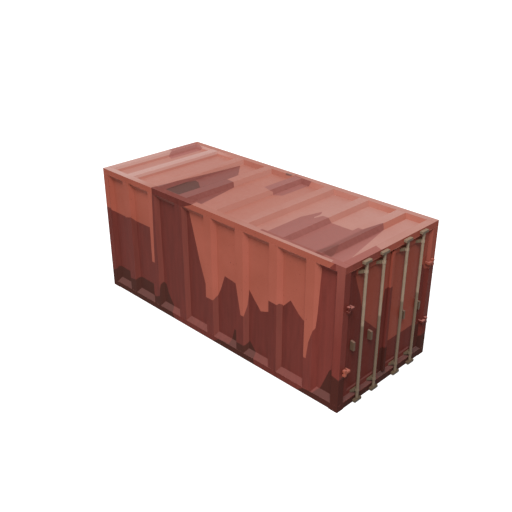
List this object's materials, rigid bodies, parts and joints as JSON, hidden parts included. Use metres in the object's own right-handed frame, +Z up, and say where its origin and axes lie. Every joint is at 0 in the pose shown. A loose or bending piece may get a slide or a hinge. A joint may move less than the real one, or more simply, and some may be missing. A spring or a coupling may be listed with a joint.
{
  "type": "shipping container",
  "caption": "Twenty-foot steel cargo container with broad pressed wall troughs and two hinged end doors held by upright lock rods.",
  "frame": {"origin": "on the ground, at the middle of the four bottom corner fittings' apertures", "axes": "+X along the container towards its doors, +Y across it towards the right leaf's side, +Z up"},
  "size_m": [6.118, 2.438, 2.591],
  "materials": {
    "body_paint": "matt orange-red paint, worn through to dark rust-red primer",
    "floor_wood": "worn plywood floor boards",
    "underframe_steel": "dark underseal, dull",
    "lock_gear_steel": "weathered galvanised steel, dull beige-grey"
  },
  "bodies": {
    "container": {"left_side_wall": "body_paint", "right_side_wall": "body_paint", "roof_panel": "body_paint", "front_wall": "body_paint", "front_left_post": "body_paint", "front_right_post": "body_paint", "door_left_post": "body_paint", "door_right_post": "body_paint", "top_corner_blocks": "body_paint", "front_left_bottom_fitting": "body_paint", "front_right_bottom_fitting": "body_paint", "door_left_bottom_fitting": "body_paint", "door_right_bottom_fitting": "body_paint", "left_top_rail": "body_paint", "right_top_rail": "body_paint", "left_bottom_rail": "body_paint", "right_bottom_rail": "body_paint", "front_sill": "body_paint", "front_header": "body_paint", "door_header": "body_paint", "door_sill": "body_paint", "door_surround": "body_paint", "floor": "floor_wood", "cross_members": "underframe_steel", "left_hinge_lugs": "body_paint", "right_hinge_lugs": "body_paint", "lower_keepers": "lock_gear_steel", "upper_keepers": "lock_gear_steel"},
    "left_door": {"left_door_frame": "body_paint", "left_door_panel": "body_paint", "left_hinge_blades": "body_paint", "left_rod_guides": "lock_gear_steel", "left_catch_boxes": "lock_gear_steel"},
    "right_door": {"right_door_frame": "body_paint", "right_door_panel": "body_paint", "cover_strip": "body_paint", "right_hinge_blades": "body_paint", "right_rod_guides": "lock_gear_steel", "right_catch_boxes": "lock_gear_steel"},
    "left_outer_rod": {"left_outer_lock_rod": "lock_gear_steel"},
    "left_inner_rod": {"left_inner_lock_rod": "lock_gear_steel"},
    "right_inner_rod": {"right_inner_lock_rod": "lock_gear_steel"},
    "right_outer_rod": {"right_outer_lock_rod": "lock_gear_steel"}
  },
  "joints": [
    {"name": "left_door_hinge", "type": "hinge", "parent": "container", "child": "left_door", "pos_m": [3.056, -1.12, 1.2775], "axis": [0, 0, -1], "range_deg": [0, 180]},
    {"name": "right_door_hinge", "type": "hinge", "parent": "container", "child": "right_door", "pos_m": [3.056, 1.12, 1.2775], "axis": [0, 0, 1], "range_deg": [0, 180]},
    {"name": "left_outer_rod_turn", "type": "hinge", "parent": "left_door", "child": "left_outer_rod", "pos_m": [3.054, -0.7485, 1.2955], "axis": [0, 0, -1], "range_deg": [0, 90]},
    {"name": "left_inner_rod_turn", "type": "hinge", "parent": "left_door", "child": "left_inner_rod", "pos_m": [3.054, -0.306, 1.2955], "axis": [0, 0, -1], "range_deg": [0, 90]},
    {"name": "right_inner_rod_turn", "type": "hinge", "parent": "right_door", "child": "right_inner_rod", "pos_m": [3.054, 0.306, 1.2955], "axis": [0, 0, 1], "range_deg": [0, 90]},
    {"name": "right_outer_rod_turn", "type": "hinge", "parent": "right_door", "child": "right_outer_rod", "pos_m": [3.054, 0.7485, 1.2955], "axis": [0, 0, 1], "range_deg": [0, 90]}
  ]
}
